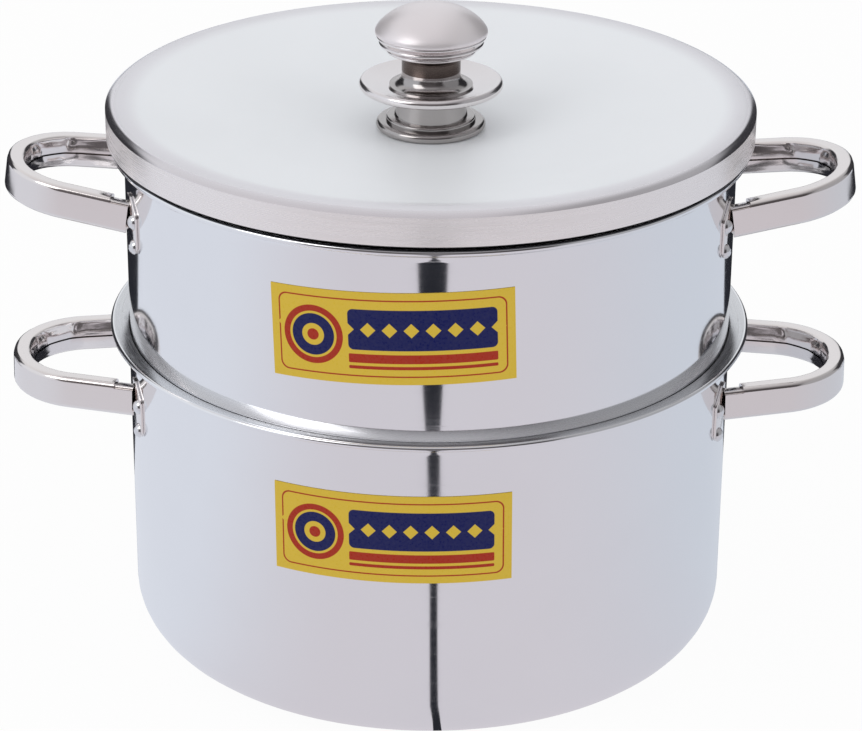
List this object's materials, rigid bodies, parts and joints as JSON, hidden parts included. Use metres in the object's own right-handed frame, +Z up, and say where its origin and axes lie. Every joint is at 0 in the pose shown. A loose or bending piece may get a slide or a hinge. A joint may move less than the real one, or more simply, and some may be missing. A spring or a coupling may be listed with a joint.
{
  "type": "steamer pot",
  "caption": "Two-tier aluminium steamer: a deep lower pot, a perforated steamer pot in its mouth, and a dished lid with a turned knob.",
  "frame": {"origin": "centre of the lower pot's flat base, on the surface it stands on", "axes": "+Z up along the pots' common axis, X through both handles, -Y towards the labels"},
  "size_m": [0.3626, 0.2754, 0.2812],
  "materials": {
    "polished_aluminium": "mirror polished outside, matte inside",
    "lid_aluminium": "satin top, polished rim, turned brush lines on the skirt",
    "knob_steel": "turned and polished",
    "knob_dark_steel": "turned, darkened",
    "fastener_steel": "zinc bright",
    "handle_steel": "satin outside, polished inside",
    "rivet_aluminium": "bright",
    "label_print": "glossy printed film"
  },
  "bodies": {
    "pot": {"lower_pot": "polished_aluminium", "lower_label": "label_print", "lower_left_handle": "handle_steel", "lower_left_front_bracket": "handle_steel", "lower_left_rear_bracket": "handle_steel", "lower_left_rivets": "rivet_aluminium", "lower_right_handle": "handle_steel", "lower_right_front_bracket": "handle_steel", "lower_right_rear_bracket": "handle_steel", "lower_right_rivets": "rivet_aluminium"},
    "steamer": {"steamer_pot": "polished_aluminium", "steamer_base": "polished_aluminium", "upper_label": "label_print", "upper_left_handle": "handle_steel", "upper_left_front_bracket": "handle_steel", "upper_left_rear_bracket": "handle_steel", "upper_left_rivets": "rivet_aluminium", "upper_right_handle": "handle_steel", "upper_right_front_bracket": "handle_steel", "upper_right_rear_bracket": "handle_steel", "upper_right_rivets": "rivet_aluminium"},
    "lid": {"lid": "lid_aluminium", "knob_base": "knob_steel", "knob_stem": "knob_steel", "knob_guard_disc": "knob_steel", "knob_collar": "knob_steel", "knob_neck": "knob_dark_steel", "knob_bowl": "knob_steel", "knob_cap": "knob_steel", "knob_screw": "fastener_steel", "screw_washer": "fastener_steel"}
  },
  "joints": [
    {"name": "steamer_lift", "type": "slide", "parent": "pot", "child": "steamer", "axis": [0, 0, 1], "range_m": [0, 0.1]},
    {"name": "lid_lift", "type": "slide", "parent": "steamer", "child": "lid", "axis": [0, 0, 1], "range_m": [0, 0.1]}
  ]
}
